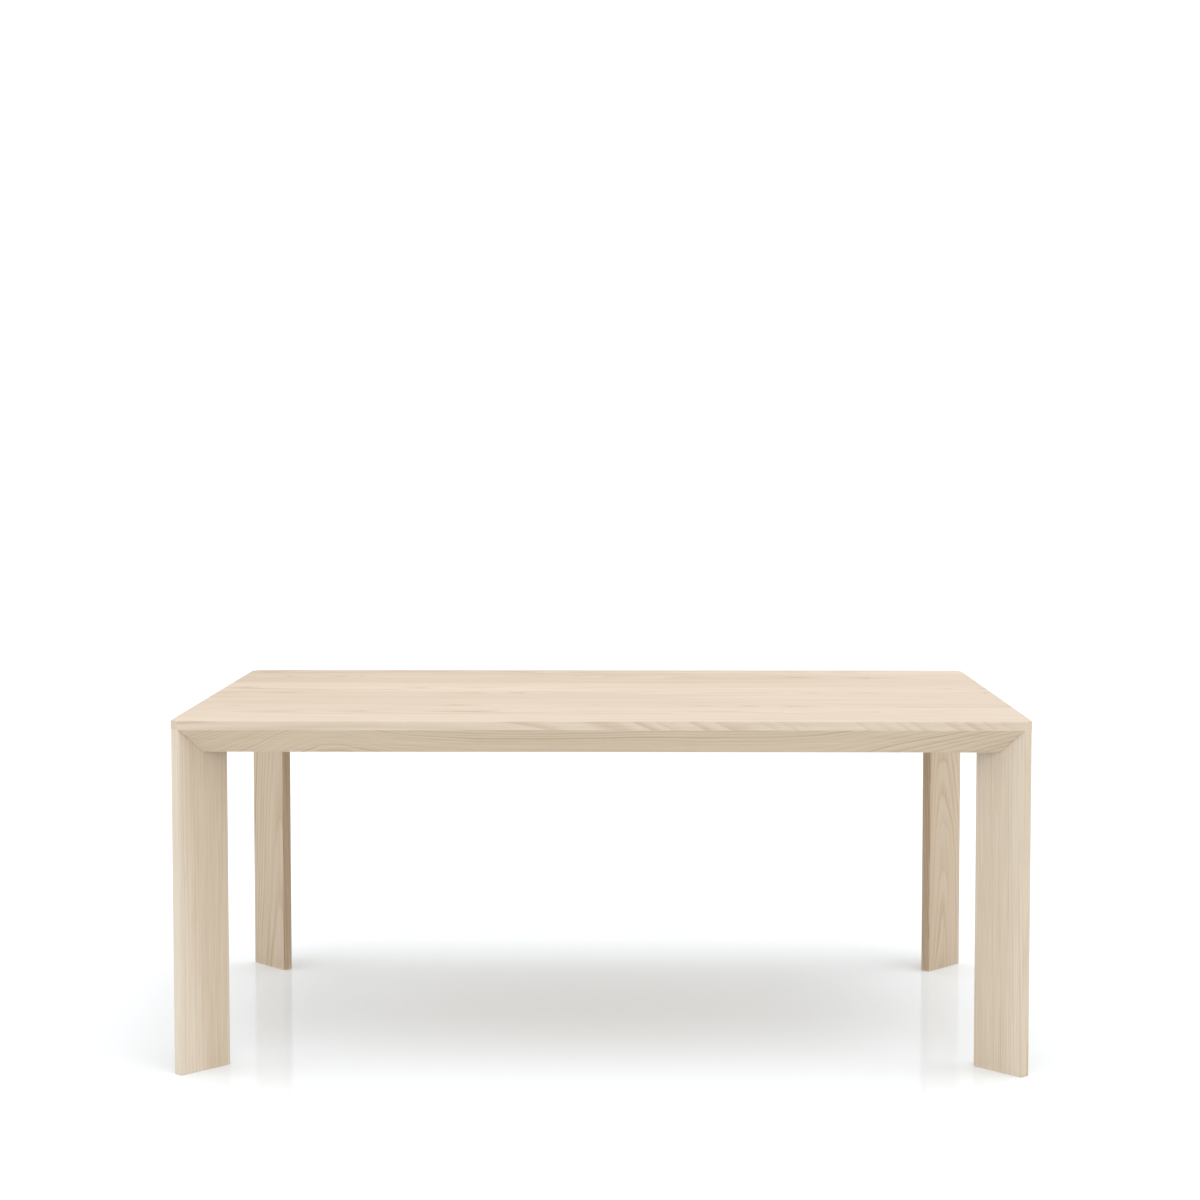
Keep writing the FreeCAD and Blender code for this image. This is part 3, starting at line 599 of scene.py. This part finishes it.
def make_hanger_bolts():
    """Real threads in place of the plain rods. Each rod lies level and points at the table's centre."""
    shape = bmesh.new()
    for corners in islands(bpy.data.objects["hanger_bolts"].data):
        low = Vector([min(c[i] for c in corners) for i in range(3)])
        high = Vector([max(c[i] for c in corners) for i in range(3)])
        middle = (low + high) / 2
        inwards = Vector((-math.copysign(1, middle.x), -math.copysign(1, middle.y), 0)).normalized()
        half = max((c - middle).dot(inwards) for c in corners)
        radius = (high.z - low.z) / 2
        add_hanger_bolt(shape, middle - inwards * half, inwards, 2 * half, radius)
    mesh = bpy.data.meshes.new("hanger_bolt_threads")
    shape.to_mesh(mesh)
    shape.free()
    bolts = bpy.data.objects.new("hanger_bolt_threads", mesh)
    bpy.context.scene.collection.objects.link(bolts)
    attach(bolts, "root")
    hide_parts("hanger_bolts")


# ---------------------------------------------------------------- floor, light and camera

FLOOR_RADIUS = 40.0
SOLE_GAP = 0.012  # within this distance the floor lets light from a sole pass, so the soles aren't black
ROOM = (1.59, 0.735, 0.93)  # how bright the room is at its sides, at its front and back, and overhead
FRONT_GAIN = 0.10  # what the front gains and the back loses
BACKDROP = 1.06


def make_floor():
    """A white studio floor, clear from below, and clear to the light that leaves a sole."""
    mesh = bpy.data.meshes.new("studio_floor")
    shape = bmesh.new()
    bmesh.ops.create_circle(shape, cap_ends=True, segments=128, radius=FLOOR_RADIUS)
    shape.to_mesh(mesh)
    shape.free()
    floor = bpy.data.objects.new("studio_floor", mesh)
    bpy.context.scene.collection.objects.link(floor)

    material, tree, shader = new_material("white_floor")
    mottle = tree.noise(tree.position(), scale=3.0, detail=4.0)
    colour = tree.mix(mottle, (0.848, 0.884, 0.912, 1), (0.858, 0.894, 0.922, 1))
    tree.feed(shader.inputs["Base Color"], colour)
    tree.feed(shader.inputs["Roughness"], tree.weighted_sum(0.07, (mottle, 0.04)))
    shader.inputs["Specular IOR Level"].default_value = 0.045
    clear = tree.add("ShaderNodeBsdfTransparent").outputs["BSDF"]
    below = tree.add("ShaderNodeNewGeometry").outputs["Backfacing"]
    ray = tree.add("ShaderNodeLightPath").outputs
    short = tree.math("LESS_THAN", ray["Ray Length"], SOLE_GAP)
    sole = tree.math("MULTIPLY", ray["Is Diffuse Ray"], short)
    opened = tree.math("MAXIMUM", below, sole)
    output = material.node_tree.nodes["Material Output"]
    tree.feed(output.inputs["Surface"], tree.mix_shaders(opened, shader.outputs["BSDF"], clear))
    mesh.materials.append(material)


def make_room():
    """A white room, brightest at the sides, with an even backdrop for the camera and the gloss."""
    world = bpy.data.worlds.new("white_room")
    world.use_nodes = True
    tree = Tree(world.node_tree)
    room = world.node_tree.nodes["Background"]
    room.inputs["Color"].default_value = (1, 1, 1, 1)
    direction = tree.add("ShaderNodeTexCoord").outputs["Generated"]
    squared = tree.vector("MULTIPLY", direction, direction)
    level = tree.vector("DOT_PRODUCT", squared, ROOM, output="Value")
    back = tree.split(direction)["Y"]
    tree.feed(room.inputs["Strength"], tree.math("MULTIPLY_ADD", back, -FRONT_GAIN, level))
    backdrop = tree.add("ShaderNodeBackground", {"Color": (1, 1, 1, 1), "Strength": BACKDROP})
    ray = tree.add("ShaderNodeLightPath").outputs
    seen = tree.math("MAXIMUM", ray["Is Camera Ray"], ray["Is Glossy Ray"])
    both = tree.mix_shaders(seen, room.outputs["Background"], backdrop.outputs["Background"])
    tree.feed(world.node_tree.nodes["World Output"].inputs["Surface"], both)
    bpy.context.scene.world = world


def make_softbox():
    """One broad soft light, high up and a little in front and to the right."""
    lamp = bpy.data.lights.new("softbox", "SUN")
    lamp.energy = 1.07
    lamp.angle = math.radians(50)
    softbox = bpy.data.objects.new("softbox", lamp)
    towards = Vector((-0.12, 0.22, -1.0))
    softbox.rotation_euler = towards.to_track_quat("-Z", "Y").to_euler()
    softbox.location = -4 * towards
    bpy.context.scene.collection.objects.link(softbox)


def make_camera():
    """A long lens above table height, looking slightly down, with a small shift for the framing."""
    data = bpy.data.cameras.new("camera")
    data.sensor_width = 36.0
    data.lens = 67.51
    data.shift_x = -0.01129
    data.shift_y = -0.02619
    camera = bpy.data.objects.new("camera", data)
    camera.location = (0.0685, -5.2637, 1.3540)
    camera.rotation_euler = Euler((math.radians(90 - 3.245), 0, math.radians(0.498)))
    bpy.context.scene.collection.objects.link(camera)
    bpy.context.scene.camera = camera


paint_top()
paint_rails()
paint_legs()
paint_frame()
make_hanger_bolts()
paint_hardware()
make_floor()
make_room()
make_softbox()
make_camera()
bpy.context.scene.view_settings.view_transform = "Standard"
